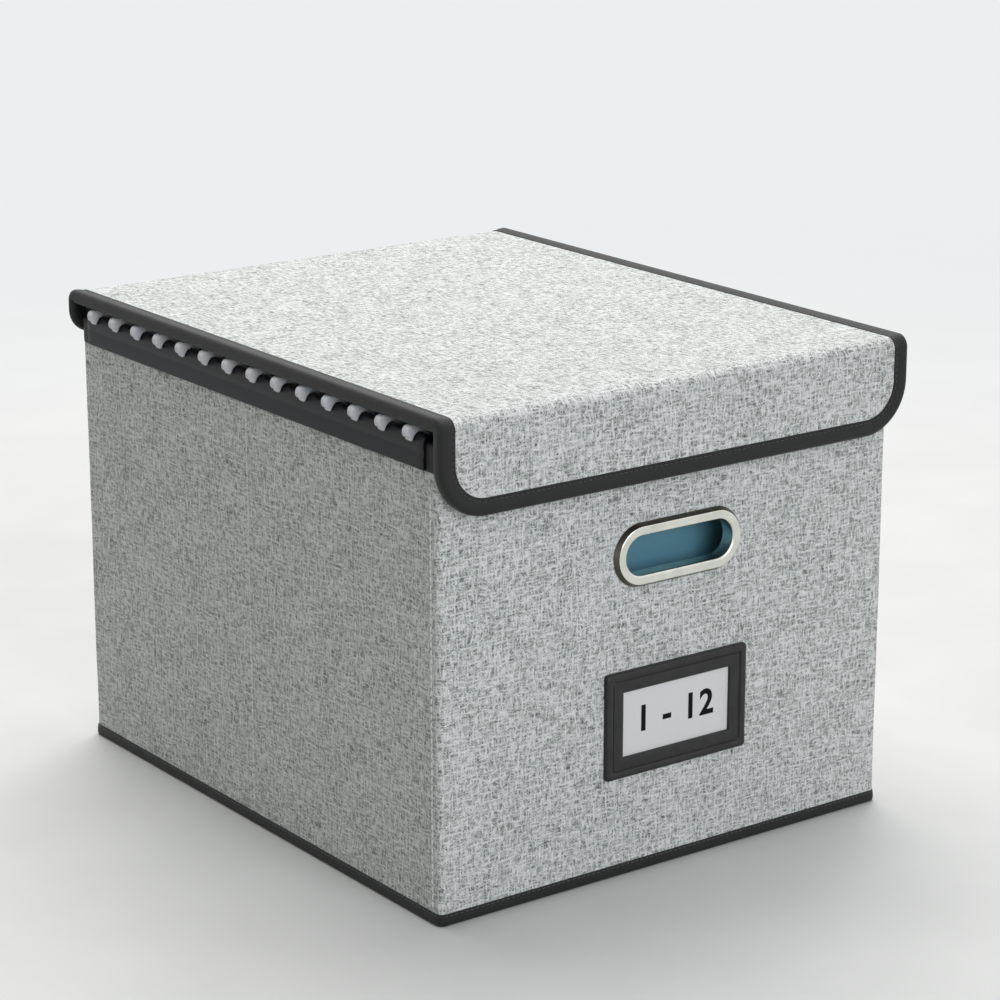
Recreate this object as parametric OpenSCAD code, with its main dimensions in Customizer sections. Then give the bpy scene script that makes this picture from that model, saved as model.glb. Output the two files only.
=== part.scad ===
// A linen-covered box for hanging files. Its lid has a flap at the front and one at the back, and
// seven folders hang from plastic rails that clip over the side walls. The side walls have a crease
// down the middle, so the empty box folds flat.
// Millimetres. Front is -Y, the floor is z = 0, and the origin is under the middle of the whole box.

/* [Walls] */
// Outside width of the walls, side to side
body_w = 310; // [292:1:340]
// Outside depth of the walls, front to back
body_d = 367; // [330:1:400]
// Height of the walls under the rim tape
wall_h = 263; // [256:1:290]
// Thickness of the stiff board in each wall
board_t = 2.6; // [1.8:0.1:4]
// Thickness of the outer linen
cover_t = 0.8; // [0.5:0.1:1.2]
// Thickness of the lining
lining_t = 0.6; // [0.3:0.1:1]
// Radius of the linen round the upright corners
corner_r = 3.5; // [2:0.5:8]
// Gap between the two boards of a side wall, where it folds
fold_gap = 2; // [1:0.5:6]
// Depth of the fold line pressed into the linen of a side wall
fold_groove = 0.5; // [0.2:0.1:0.7]

/* [Floor] */
// Thickness of the loose board on the floor
base_board_t = 3.2; // [2:0.1:5]
// Room round the loose floor board
base_board_gap = 1; // [0.5:0.5:4]
// Height of the tape round the foot
foot_tape_h = 6.7; // [4:0.1:20]
// Thickness of the tape round the foot
foot_tape_t = 1; // [0.4:0.1:1.5]

/* [Rim and rails] */
// Height of the tape over the top edge of the walls
rim_tape_h = 15; // [8:0.5:22]
// Thickness of the rim tape
rim_tape_t = 0.5; // [0.3:0.1:1]
// Thickness of a rail's legs
rail_t = 1.5; // [1:0.1:2.5]
// How far a rail grips down over the rim
rail_grip = 14.4; // [8:0.2:20]
// Thickness of a rail above the rim, at its crown
rail_crown = 3.5; // [2:0.1:6]
// Bare rim left at each end of a rail
rail_end_gap = 9.8; // [6:0.2:20]
// Clearance between a rail and the taped rim
rail_fit = 0.05; // [0.02:0.01:0.2]

/* [Hand holes] */
// Clear width of a hand hole
hand_w = 74; // [60:1:100]
// Clear height of a hand hole
hand_h = 22.2; // [18:0.2:34]
// Height of the middle of a hand hole
hand_z = 182.6; // [160:0.2:200]
// Width of the metal ring's face
ring_face = 6.9; // [4:0.1:9]
// How far the ring stands out from the linen
ring_out = 3.4; // [2:0.1:6]
// Radius of the ring's outer front edge
ring_outer_r = 1.9; // [0.5:0.1:2]
// Radius of the ring's inner front edge
ring_inner_r = 1; // [0.3:0.1:2]
// Thickness of the collar that lines the hole
collar_t = 1; // [0.6:0.1:2]
// Thickness of the plate that clinches the ring from inside
hand_plate_t = 1.5; // [0.8:0.1:3]
// How far the front ring and the label holder sit to the right of the middle
front_metal_x = 3; // [-10:0.5:10]

/* [Label holder] */
// Width of the window
window_w = 75; // [50:1:90]
// Height of the window
window_h = 37.4; // [20:0.2:50]
// Height of the middle of the window
window_z = 88; // [75:0.5:95]
// Width of the inner border round the window
border_inner = 7.6; // [5:0.1:9]
// Width of the raised outer border
border_outer = 4.2; // [3:0.1:6]
// Thickness of the inner border
frame_t = 2.4; // [1.8:0.1:4]
// Step up from the inner border to the outer one
frame_step = 0.8; // [0.3:0.1:1.5]
// Radius of the holder's corners
frame_corner_r = 2; // [0.5:0.5:4]
// Thickness of the label card
card_t = 0.5; // [0.2:0.1:0.9]
// How far the card reaches behind the inner border
card_tuck = 2.6; // [1:0.1:4]
// Play in front of and behind the card
card_play = 0.2; // [0.1:0.05:0.4]
// Radius of the studs on the back of the holder
stud_r = 1.5; // [1:0.1:2]
// Height between the two studs on each side
stud_pitch = 26; // [15:1:34]
// Thickness of the washers pushed on to the studs
washer_t = 0.6; // [0.4:0.1:1.5]
// Outer radius of the washers
washer_r = 5; // [3:0.5:8]

/* [Lid] */
// How far the lid reaches past the walls on each side
lid_overhang = 5.5; // [4:0.5:12]
// Thickness of the board in the lid and in its front flap
lid_board_t = 4.4; // [2:0.1:6]
// Thickness of the board in the rear flap
rear_board_t = 1.8; // [1:0.1:4]
// Height of the front flap, from the top of the lid
flap_h = 53.9; // [50:0.1:80]
// Height of the rear flap, from the top of the lid
rear_flap_h = 26; // [24:0.5:30]
// Room between the front flap and the front wall
flap_gap = 3.3; // [2.5:0.1:10]
// Radius of the front flap's lower corners
flap_corner_r = 30; // [12:1:40]
// Radius of the rear flap's lower corners
rear_corner_r = 14; // [11:1:16]
// Width of the tape round the lid's edges
edge_tape_w = 10; // [6:0.5:14]
// Thickness of the tape round the lid's edges
edge_tape_t = 1.2; // [0.2:0.1:1.6]
// Room between two panels of the lid where it creases
crease_gap = 0.6; // [0.5:0.1:1.5]
// Room between the lid and the folders' hook tips
lid_gap = 0.3; // [0.2:0.1:3]
// Width of the hook-and-loop strips
strip_w = 260; // [100:5:280]
// Height of the hook-and-loop strips
strip_h = 7; // [4:0.5:8]
// Thickness of each hook-and-loop strip
strip_t = 0.8; // [0.4:0.1:1.5]
// Room between the two strips
strip_gap = 0.1; // [0.05:0.05:0.5]

/* [Folders] */
// Bare rail past the first and the last hook
rail_spare = 10.6; // [9:0.2:20]
// Height of a folder, from the top of its hem to its fold
folder_h = 242; // [180:1:242]
// Thickness of the folder sheet
sheet_t = 0.6; // [0.3:0.1:1]
// Inner radius of the fold at the bottom of a folder
sheet_fold_r = 2; // [1:0.5:6]
// Length of the hem in which a rod lies
hem_h = 15; // [13:0.5:25]
// Thickness of a steel rod
rod_t = 1.2; // [0.8:0.1:2]
// Height of a steel rod
rod_h = 10; // [7:0.5:12]
// Clearance between a rod and its hem or tip
rod_fit = 0.1; // [0.05:0.05:0.3]
// Width of a hook tip along the rail
tip_w = 4.8; // [3:0.1:7]
// Thickness of a hook tip over the rail
tip_bar = 4.2; // [4:0.1:8]
// How far a hook tip stands out past the rail
tip_out = 4.6; // [2:0.05:6]
// How far a hook tip reaches down outside the rail
tip_drop = 4.3; // [2:0.1:8]
// Thickness of a hook tip at its lower point
tip_point = 1.6; // [0.6:0.1:1.8]
// Room between a hook tip and the rail, on top and at each side
tip_gap = 0.3; // [0.1:0.05:0.8]
// Room between a folder's edge and the hook tips
sheet_edge_gap = 0.3; // [0.2:0.1:2]

/* [Hidden] */
$fn = 64;
folders = 7;

// A wall, from its linen to its lining.
wall_t = cover_t + board_t + lining_t;
half_w = body_w / 2;
half_d = body_d / 2;

// Levels, from the floor up.
rim_top = wall_h + rim_tape_t;
rail_ceiling = rim_top + rail_fit;
rail_top = rail_ceiling + rail_crown;
notch_top = rail_top + tip_gap;
tip_top = notch_top + tip_bar;
lid_bottom = tip_top + lid_gap + edge_tape_t;
lid_t = lining_t + lid_board_t + cover_t;
lid_top = lid_bottom + lid_t;
flap_top = lid_bottom - edge_tape_t - crease_gap / 2;

// The rail, across the wall: its two side faces, outer and inner, from the middle of the box.
rail_outer = half_w + rim_tape_t + rail_fit + rail_t;
rail_inner = half_w - wall_t - rim_tape_t - rail_fit - rail_t;
rail_w = rail_outer - rail_inner;
rail_len = body_d - 2 * rail_end_gap;

// The lid, front to back. The front flap hangs clear of the wall and the rear one is stuck to it.
panel_w = body_w + 2 * lid_overhang;
rear_t = lining_t + rear_board_t + cover_t;
lid_front = half_d + flap_gap + lid_t;
hook_face = half_d + rim_tape_t;
lid_rear = hook_face + 2 * strip_t + strip_gap + edge_tape_t + rear_t;
skin_gap = cover_t + crease_gap;

// The strips lie on the tape inside the rear flap, and never above the rim.
strip_z = min(lid_top - rear_flap_h + edge_tape_w / 2, rim_top - strip_h / 2);

// Each flap: its height, its corners' radius and its board's thickness.
front_flap = [flap_h, flap_corner_r, lid_board_t];
rear_flap = [rear_flap_h, rear_corner_r, rear_board_t];

// The middle of the walls lies behind the middle of the whole box, because the lid's front stands
// out further than its rear.
box_y = (lid_front - lid_rear) / 2;

// The folders share the rail evenly: two rods each.
rod_pitch = (rail_len - 2 * rail_spare) / (2 * folders - 1);
tip_inner = rail_inner - tip_gap * 2;
tip_root = tip_inner - 1.5;
sheet_w = 2 * (tip_root - sheet_edge_gap);
hem_half = rod_t / 2 + rod_fit + sheet_t;
rod_top = tip_top - sheet_t;
hem_top = rod_top + rod_fit + sheet_t;
sheet_bottom = hem_top - folder_h;
tongue_h = 3;
tongue_len = 5;

// The label holder's profile, from the window outwards.
border_w = border_inner + border_outer;
slot_t = card_t + 2 * card_play;
stud_x = window_w / 2 + card_tuck + (border_w - card_tuck) / 2;
stud_len = wall_t + washer_t + 2;
stud_fit = 0.1;

// Centre of folder number i along the box.
function folder_y(i) = (i - (folders + 1) / 2) * 2 * rod_pitch;

// Puts a shape made round the middle of the walls in its place in the whole box.
module in_box() {
    translate([0, box_y, 0]) children();
}

// Flat shape: a rectangle with round corners.
module round_rect(w, d, r) {
    square([w - 2 * r, d], center = true);
    square([w, d - 2 * r], center = true);
    for (x = [-1, 1], y = [-1, 1])
        translate([x * (w / 2 - r), y * (d / 2 - r)]) circle(r);
}

// Flat shape: a slot with round ends, grown by "more" all round.
module slot_shape(more) {
    r = hand_h / 2 + more;
    square([hand_w - hand_h, 2 * r], center = true);
    for (x = [-1, 1])
        translate([x * (hand_w - hand_h) / 2, 0]) circle(r);
}

// Flat shape: a ring of the wall's outline, between two depths under the linen's face.
module wall_ring(outer, inner) {
    difference() {
        round_rect(body_w - 2 * outer, body_d - 2 * outer, max(corner_r - outer, 0.2));
        round_rect(body_w - 2 * inner, body_d - 2 * inner, max(corner_r - inner, 0.2));
    }
}

// Stands a flat shape up on the front wall: its y becomes z, and it grows from the linen's outer
// face, outwards from "from" to "to".
module on_front(from, to) {
    translate([0, -half_d, 0]) rotate([90, 0, 0])
        translate([0, 0, from]) linear_extrude(to - from) children();
}

// Turns what stands on the front wall round to the back wall.
module on_back() {
    rotate([0, 0, 180]) children();
}

// The hand hole through a wall, at the front.
module hand_cut(more) {
    on_front(-wall_t - 10, 10) translate([front_metal_x, hand_z]) slot_shape(more);
}

// The same hole at the back, where it sits in the middle.
module back_hand_cut(more) {
    on_back() on_front(-wall_t - 10, 10) translate([0, hand_z]) slot_shape(more);
}

// The holes for the label holder's studs.
module stud_cuts() {
    on_front(-wall_t - 10, 10) stud_circles(stud_r + stud_fit);
}

// Flat shape: the four studs.
module stud_circles(r) {
    for (x = [-1, 1], z = [-1, 1])
        translate([front_metal_x + x * stud_x, window_z + z * stud_pitch / 2]) circle(r, $fn = 32);
}

// ---- Walls ----

// Woven linen round the four walls, with the hand holes, the stud holes and the fold lines.
module outer_cover() {
    color("#a3aaaa") in_box() difference() {
        linear_extrude(wall_h) wall_ring(0, cover_t);
        hand_cut(collar_t + 0.1);
        back_hand_cut(collar_t + 0.1);
        stud_cuts();
        for (x = [-1, 1])
            translate([x * half_w, 0, -1]) rotate([0, 0, 45])
                linear_extrude(wall_h + 2) square(fold_groove * sqrt(2), center = true);
    }
}

// The lining: a sleeve inside the boards with a floor.
module lining() {
    depth = cover_t + board_t;
    color("#6f7678") in_box() difference() {
        union() {
            translate([0, 0, cover_t]) linear_extrude(wall_h - cover_t) wall_ring(depth, wall_t);
            translate([0, 0, cover_t]) linear_extrude(lining_t)
                round_rect(body_w - 2 * depth, body_d - 2 * depth, 0.2);
        }
        hand_cut(collar_t + 0.1);
        back_hand_cut(collar_t + 0.1);
        stud_cuts();
    }
}

// A board between the linen and the lining of the front wall.
module end_board() {
    w = body_w - 2 * max(corner_r, cover_t + board_t);
    translate([-w / 2, -half_d + cover_t, cover_t])
        cube([w, board_t, wall_h - cover_t]);
}

module front_board() {
    color("#b9a88a") in_box() difference() {
        end_board();
        hand_cut(collar_t + 0.1);
        stud_cuts();
    }
}

module back_board() {
    color("#b9a88a") in_box() difference() {
        on_back() end_board();
        back_hand_cut(collar_t + 0.1);
    }
}

// Half of a side wall's stiffening: side is -1 or 1 across, end is -1 or 1 along the box.
module side_board(side, end) {
    len = half_d - max(corner_r, cover_t + board_t) - 0.05 - fold_gap / 2;
    color("#b9a88a") in_box()
        translate([side * (half_w - cover_t - board_t / 2), end * (fold_gap + len) / 2, cover_t])
            linear_extrude(wall_h - cover_t) square([board_t, len], center = true);
}

module left_front_board() {
    side_board(-1, -1);
}

module left_rear_board() {
    side_board(-1, 1);
}

module right_front_board() {
    side_board(1, -1);
}

module right_rear_board() {
    side_board(1, 1);
}

// ---- Floor ----

// The linen under the box.
module bottom_cover() {
    color("#8c9392") in_box() linear_extrude(cover_t)
        round_rect(body_w - 2 * cover_t, body_d - 2 * cover_t, corner_r - cover_t);
}

// The loose stiff board that keeps the box open.
module base_board() {
    inset = wall_t + base_board_gap;
    color("#7c8284") in_box() translate([0, 0, cover_t + lining_t]) linear_extrude(base_board_t)
        round_rect(body_w - 2 * inset, body_d - 2 * inset, 3);
}

// Dark tape sewn round the foot of the walls.
module foot_binding() {
    color("#343b3f") in_box() linear_extrude(foot_tape_h) difference() {
        round_rect(body_w + 2 * foot_tape_t, body_d + 2 * foot_tape_t, corner_r + foot_tape_t);
        round_rect(body_w, body_d, corner_r);
    }
}

// ---- Rim and rails ----

// Dark tape folded over the top edge of the walls.
module rim_binding() {
    color("#3b3d3c") in_box() difference() {
        translate([0, 0, rim_top - rim_tape_h]) linear_extrude(rim_tape_h) difference() {
            round_rect(body_w + 2 * rim_tape_t, body_d + 2 * rim_tape_t, corner_r + rim_tape_t);
            round_rect(body_w - 2 * (wall_t + rim_tape_t), body_d - 2 * (wall_t + rim_tape_t), 0.2);
        }
        translate([0, 0, rim_top - rim_tape_h - 1]) linear_extrude(rim_tape_h + 1 - rim_tape_t)
            difference() {
                round_rect(body_w, body_d, corner_r);
                round_rect(body_w - 2 * wall_t, body_d - 2 * wall_t, 0.2);
            }
    }
}

// Flat shape, across the left rail: two legs under a round crown, open to the taped rim.
module rail_profile() {
    r = rail_w / 2;
    middle = -(rail_outer + rail_inner) / 2;
    foot = rim_top - rail_grip;
    difference() {
        translate([middle, 0]) {
            translate([-r, foot]) square([rail_w, rail_top - r - foot]);
            intersection() {
                translate([0, rail_top - r]) circle(r);
                translate([-r, rail_top - r]) square([rail_w, r]);
            }
        }
        translate([middle - r + rail_t, foot - 1])
            square([rail_w - 2 * rail_t, rail_ceiling - foot + 1]);
    }
}

module left_rail() {
    color("#37383a") in_box() translate([0, rail_len / 2, 0]) rotate([90, 0, 0])
        linear_extrude(rail_len) rail_profile();
}

module right_rail() {
    color("#37383a") in_box() translate([0, -rail_len / 2, 0]) rotate([90, 0, 180])
        linear_extrude(rail_len) rail_profile();
}

// ---- Hand holes ----

// Flat shape, across the ring: x is measured from the middle of a round end, y out from the linen.
module ring_profile() {
    in = hand_h / 2;
    out = in + ring_face;
    translate([in, -wall_t - hand_plate_t]) square([collar_t, wall_t + hand_plate_t + 0.5]);
    intersection() {
        translate([in, 0]) square([ring_face, ring_out]);
        union() {
            translate([in, 0]) square([ring_face, ring_out - ring_outer_r]);
            translate([in, 0]) square([ring_face - ring_outer_r, ring_out - ring_inner_r]);
            translate([in + ring_inner_r, 0])
                square([ring_face - ring_inner_r - ring_outer_r, ring_out]);
            translate([out - ring_outer_r, ring_out - ring_outer_r]) circle(ring_outer_r);
            translate([in + ring_inner_r, ring_out - ring_inner_r]) circle(ring_inner_r);
        }
    }
}

// A pressed steel ring with a collar that lines the hole, standing out of the front wall at x = 0.
module hand_ring() {
    straight = hand_w - hand_h;
    color("#d4d0c6") translate([0, -half_d, hand_z]) rotate([90, 0, 0]) {
        for (turn = [0, 180])
            rotate([0, 0, turn]) {
                translate([straight / 2, 0, 0]) rotate([0, 0, -90])
                    rotate_extrude(angle = 180) ring_profile();
                rotate([90, 0, 90]) linear_extrude(straight, center = true) ring_profile();
            }
    }
}

// The flat plate inside the wall, over the end of the collar.
module hand_plate() {
    color("#b9b7b1") on_front(-wall_t - hand_plate_t, -wall_t) translate([0, hand_z]) difference() {
        slot_shape(ring_face - 1);
        slot_shape(collar_t + 0.05);
    }
}

module front_hand_ring() {
    in_box() translate([front_metal_x, 0, 0]) hand_ring();
}

module front_hand_plate() {
    in_box() translate([front_metal_x, 0, 0]) hand_plate();
}

module rear_hand_ring() {
    in_box() on_back() hand_ring();
}

module rear_hand_plate() {
    in_box() on_back() hand_plate();
}

// ---- Label holder ----

// Flat shape, across one side of the frame: x out from the window's edge, y out from the linen.
module frame_profile() {
    polygon([
        [0, 0], [0, frame_t - 0.3], [0.3, frame_t], [border_inner, frame_t],
        [border_inner + 0.6, frame_t + frame_step], [border_w - 1.4, frame_t + frame_step - 0.15],
        [border_w - 0.4, frame_t - 0.4], [border_w, 0]
    ]);
}

// One mitred side of the frame, "len" along the window and "half" from its middle.
module frame_side(len, half) {
    reach = len / 2 + border_w;
    intersection() {
        translate([0, half, 0]) rotate([90, 0, 90])
            linear_extrude(2 * reach, center = true) frame_profile();
        linear_extrude(10, center = true)
            polygon([
                [-reach, half + border_w], [reach, half + border_w],
                [len / 2, half], [-len / 2, half]
            ]);
    }
}

// The metal holder, with a slot behind it that opens upwards, and four studs.
module label_frame() {
    color("#474746") in_box() {
        difference() {
            translate([front_metal_x, -half_d, window_z]) rotate([90, 0, 0]) intersection() {
                union() {
                    for (turn = [0, 180])
                        rotate([0, 0, turn]) {
                            frame_side(window_w, window_h / 2);
                            rotate([0, 0, 90]) frame_side(window_h, window_w / 2);
                        }
                }
                linear_extrude(20, center = true)
                    round_rect(window_w + 2 * border_w, window_h + 2 * border_w, frame_corner_r);
            }
            on_front(-1, slot_t) translate([front_metal_x, window_z - window_h / 2 - card_tuck])
                translate([-window_w / 2 - card_tuck - 0.3, 0])
                    square([window_w + 2 * card_tuck + 0.6, window_h + 2 * border_w]);
        }
        on_front(-stud_len, 0.2) stud_circles(stud_r);
    }
}

// Push-on washers that hold the studs inside the wall.
module label_washers() {
    color("#9a9a98") in_box() on_front(-wall_t - washer_t, -wall_t) difference() {
        stud_circles(washer_r);
        stud_circles(stud_r + 0.05);
    }
}

// The card, which drops in from above and rests on the foot of the slot.
module label_card() {
    color("#e4e4e2") in_box() on_front(card_play, card_play + card_t)
        translate([front_metal_x - window_w / 2 - card_tuck, window_z - window_h / 2 - card_tuck + 0.05])
            square([window_w + 2 * card_tuck, window_h + card_tuck + border_w / 2]);
}

// The hook half of the hook-and-loop, sewn to the back wall.
module back_hook_strip() {
    color("#2c2f31") in_box() translate([0, hook_face + strip_t / 2, strip_z])
        cube([strip_w, strip_t, strip_h], center = true);
}

// ---- Lid ----

// Flat shape of a flap, with its lower corners round, drawn in from its edge by "inset".
module flap_shape(flap, inset, top) {
    w = panel_w - 2 * inset;
    r = max(flap[1] - inset, 1);
    low = lid_top - flap[0] + inset;
    intersection() {
        union() {
            translate([-w / 2, low + r]) square([w, top - low - r]);
            translate([-w / 2 + r, low]) square([w - 2 * r, top - low]);
            for (x = [-1, 1])
                translate([x * (w / 2 - r), low + r]) circle(r);
        }
        translate([-w / 2, low]) square([w, top - low]);
    }
}

// A layer of a flap. Depth is measured inwards from the linen's face, which stands at y = 0.
module flap_layer(flap, from, to, inset, top) {
    translate([0, to, 0]) rotate([90, 0, 0])
        linear_extrude(to - from) flap_shape(flap, inset, top);
}

module flap_cover(flap) {
    color("#a3aaaa") flap_layer(flap, 0, cover_t, edge_tape_t, lid_top - crease_gap / 2);
}

module flap_board(flap) {
    color("#b9a88a") flap_layer(flap, cover_t, cover_t + flap[2], edge_tape_t, flap_top);
}

module flap_lining(flap) {
    under = cover_t + flap[2];
    color("#6f7678") flap_layer(flap, under, under + lining_t, edge_tape_t, flap_top);
}

// Tape over the flap's edge, as wide inside as outside. Above the crease only its outer half goes on.
module flap_binding(flap) {
    t = cover_t + flap[2] + lining_t;
    top = lid_top - crease_gap / 2;
    color("#3f4648") difference() {
        union() {
            flap_layer(flap, -edge_tape_t, t + edge_tape_t, 0, flap_top);
            flap_layer(flap, -edge_tape_t, cover_t, 0, top);
        }
        flap_layer(flap, 0, t, edge_tape_t, top + 1);
        flap_layer(flap, -2 * edge_tape_t, t + 2 * edge_tape_t, edge_tape_w, top + 1);
    }
}

// Puts a flap at the front of the lid, or turns it round to the rear.
module at_front() {
    in_box() translate([0, -lid_front, 0]) children();
}

module at_rear() {
    in_box() translate([0, lid_rear, 0]) mirror([0, 1, 0]) children();
}

module lid_rear_cover() {
    at_rear() flap_cover(rear_flap);
}

module lid_rear_board() {
    at_rear() flap_board(rear_flap);
}

module lid_rear_lining() {
    at_rear() flap_lining(rear_flap);
}

module lid_rear_binding() {
    at_rear() flap_binding(rear_flap);
}

module lid_front_cover() {
    at_front() flap_cover(front_flap);
}

module lid_front_board() {
    at_front() flap_board(front_flap);
}

module lid_front_lining() {
    at_front() flap_lining(front_flap);
}

module lid_front_binding() {
    at_front() flap_binding(front_flap);
}

// The loop half of the hook-and-loop, sewn inside the rear flap.
module lid_loop_strip() {
    color("#2c2f31") in_box()
        translate([0, hook_face + strip_t + strip_gap + strip_t / 2, strip_z])
            cube([strip_w, strip_t, strip_h], center = true);
}

// A layer of the lid's top, between two levels.
module top_layer(low, high, w) {
    in_box() translate([-w / 2, -lid_front + skin_gap, low])
        cube([w, lid_front + lid_rear - 2 * skin_gap, high - low]);
}

module lid_top_cover() {
    color("#d9dedd") top_layer(lid_top - cover_t, lid_top, panel_w - 2 * edge_tape_t);
}

module lid_top_board() {
    color("#b9a88a")
        top_layer(lid_bottom + lining_t, lid_top - cover_t, panel_w - 2 * edge_tape_t);
}

module lid_top_lining() {
    color("#6f7678") top_layer(lid_bottom, lid_bottom + lining_t, panel_w - 2 * edge_tape_t);
}

// Tape over the two side edges of the lid's top.
module lid_top_binding() {
    color("#3f4648") difference() {
        top_layer(lid_bottom - edge_tape_t, lid_top + edge_tape_t, panel_w);
        top_layer(lid_bottom, lid_top, panel_w - 2 * edge_tape_t);
        top_layer(lid_bottom - 5, lid_top + 5, panel_w - 2 * edge_tape_w);
    }
}

// ---- Folders ----

// Flat shape, seen along the rods: a V with a round foot, drawn in from the sheet's outside.
module fold_shape(inset, top) {
    fold_z = sheet_bottom + sheet_fold_r + sheet_t;
    r = sheet_fold_r + sheet_t - inset;
    half_top = rod_pitch / 2 + sheet_t / 2 - inset;
    translate([0, fold_z]) circle(r);
    polygon([[-r, fold_z], [r, fold_z], [half_top, top], [-half_top, top]]);
}

// Flat shape, seen along the rods: two panels joined at the fold, and a hem round each rod.
module sheet_profile() {
    hem_foot = hem_top - hem_h;
    pocket_foot = rod_top - rod_h - rod_fit;
    panel_top = (hem_foot + pocket_foot) / 2;
    difference() {
        fold_shape(0, panel_top);
        fold_shape(sheet_t, panel_top);
    }
    for (x = [-rod_pitch / 2, rod_pitch / 2])
        difference() {
            translate([x - hem_half, hem_foot]) square([2 * hem_half, hem_h]);
            translate([x - hem_half + sheet_t, pocket_foot])
                square([2 * (hem_half - sheet_t), rod_h + 2 * rod_fit]);
        }
}

module folder_sheet(i) {
    color("#4f8ba3") in_box() translate([0, folder_y(i), 0]) rotate([90, 0, 90])
        linear_extrude(sheet_w, center = true) sheet_profile();
}

// Two flat steel rods, each with a narrow tongue at both ends.
module folder_rods(i) {
    tongue_z = (notch_top + tip_top - tongue_h) / 2;
    color("#b4b6b8") in_box() translate([0, folder_y(i), 0])
        for (side = [-1, 1])
            translate([0, side * rod_pitch / 2 - rod_t / 2, 0]) {
                translate([-tip_root, 0, rod_top - rod_h]) cube([2 * tip_root, rod_t, rod_h]);
                translate([-tip_root - tongue_len, 0, tongue_z])
                    cube([2 * (tip_root + tongue_len), rod_t, tongue_h]);
            }
}

// Flat shape, seen along the box: a hook that reaches over the left rail.
module tip_profile() {
    nose = rail_outer + tip_out;
    r = min(tip_bar - 0.6, nose - rail_outer);
    hook_low = notch_top - tip_drop;
    translate([-nose + r, notch_top]) square([nose - r - tip_root, tip_bar]);
    translate([-nose, notch_top]) square([r + 0.1, tip_bar - r]);
    intersection() {
        translate([-nose + r, tip_top - r]) circle(r);
        translate([-nose, notch_top]) square([2 * r, tip_bar]);
    }
    polygon([
        [-nose, notch_top + 0.1], [-nose + 0.5, notch_top - tip_drop * 0.45],
        [-rail_outer - tip_gap - tip_point, hook_low], [-rail_outer - tip_gap, hook_low],
        [-rail_outer - tip_gap, notch_top + 0.1]
    ]);
    translate([-tip_inner, rod_top - rod_h]) square([tip_inner - tip_root, tip_top - rod_top + rod_h]);
}

// One coated hook tip at the left end of a rod.
module hook_tip() {
    tongue_z = (notch_top + tip_top - tongue_h) / 2;
    difference() {
        translate([0, tip_w / 2, 0]) rotate([90, 0, 0]) linear_extrude(tip_w) tip_profile();
        translate([-tip_root - tongue_len - 0.1, -rod_t / 2 - 0.05, tongue_z - 0.05])
            cube([tongue_len + 1, rod_t + 0.1, tongue_h + 0.1]);
    }
}

module folder_tips(i) {
    color("#c9d0d6") in_box() translate([0, folder_y(i), 0])
        for (side = [-1, 1], turn = [0, 180])
            translate([0, side * rod_pitch / 2, 0]) rotate([0, 0, turn]) hook_tip();
}

outer_cover();
lining();
front_board();
back_board();
left_front_board();
left_rear_board();
right_front_board();
right_rear_board();
bottom_cover();
base_board();
rim_binding();
foot_binding();
left_rail();
right_rail();
front_hand_ring();
front_hand_plate();
rear_hand_ring();
rear_hand_plate();
label_frame();
label_washers();
label_card();
back_hook_strip();
lid_rear_board();
lid_rear_cover();
lid_rear_lining();
lid_rear_binding();
lid_loop_strip();
lid_top_board();
lid_top_cover();
lid_top_lining();
lid_top_binding();
lid_front_board();
lid_front_cover();
lid_front_lining();
lid_front_binding();
folder_sheet(1);  // folder_1_sheet
folder_rods(1);  // folder_1_rods
folder_tips(1);  // folder_1_tips
folder_sheet(2);  // folder_2_sheet
folder_rods(2);  // folder_2_rods
folder_tips(2);  // folder_2_tips
folder_sheet(3);  // folder_3_sheet
folder_rods(3);  // folder_3_rods
folder_tips(3);  // folder_3_tips
folder_sheet(4);  // folder_4_sheet
folder_rods(4);  // folder_4_rods
folder_tips(4);  // folder_4_tips
folder_sheet(5);  // folder_5_sheet
folder_rods(5);  // folder_5_rods
folder_tips(5);  // folder_5_tips
folder_sheet(6);  // folder_6_sheet
folder_rods(6);  // folder_6_rods
folder_tips(6);  // folder_6_tips
folder_sheet(7);  // folder_7_sheet
folder_rods(7);  // folder_7_rods
folder_tips(7);  // folder_7_tips
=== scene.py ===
"""A linen-covered filing box with a folding lid, seven hanging folders and their rails. The scene is
in metres; the sizes below are in millimetres."""

import math

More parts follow.
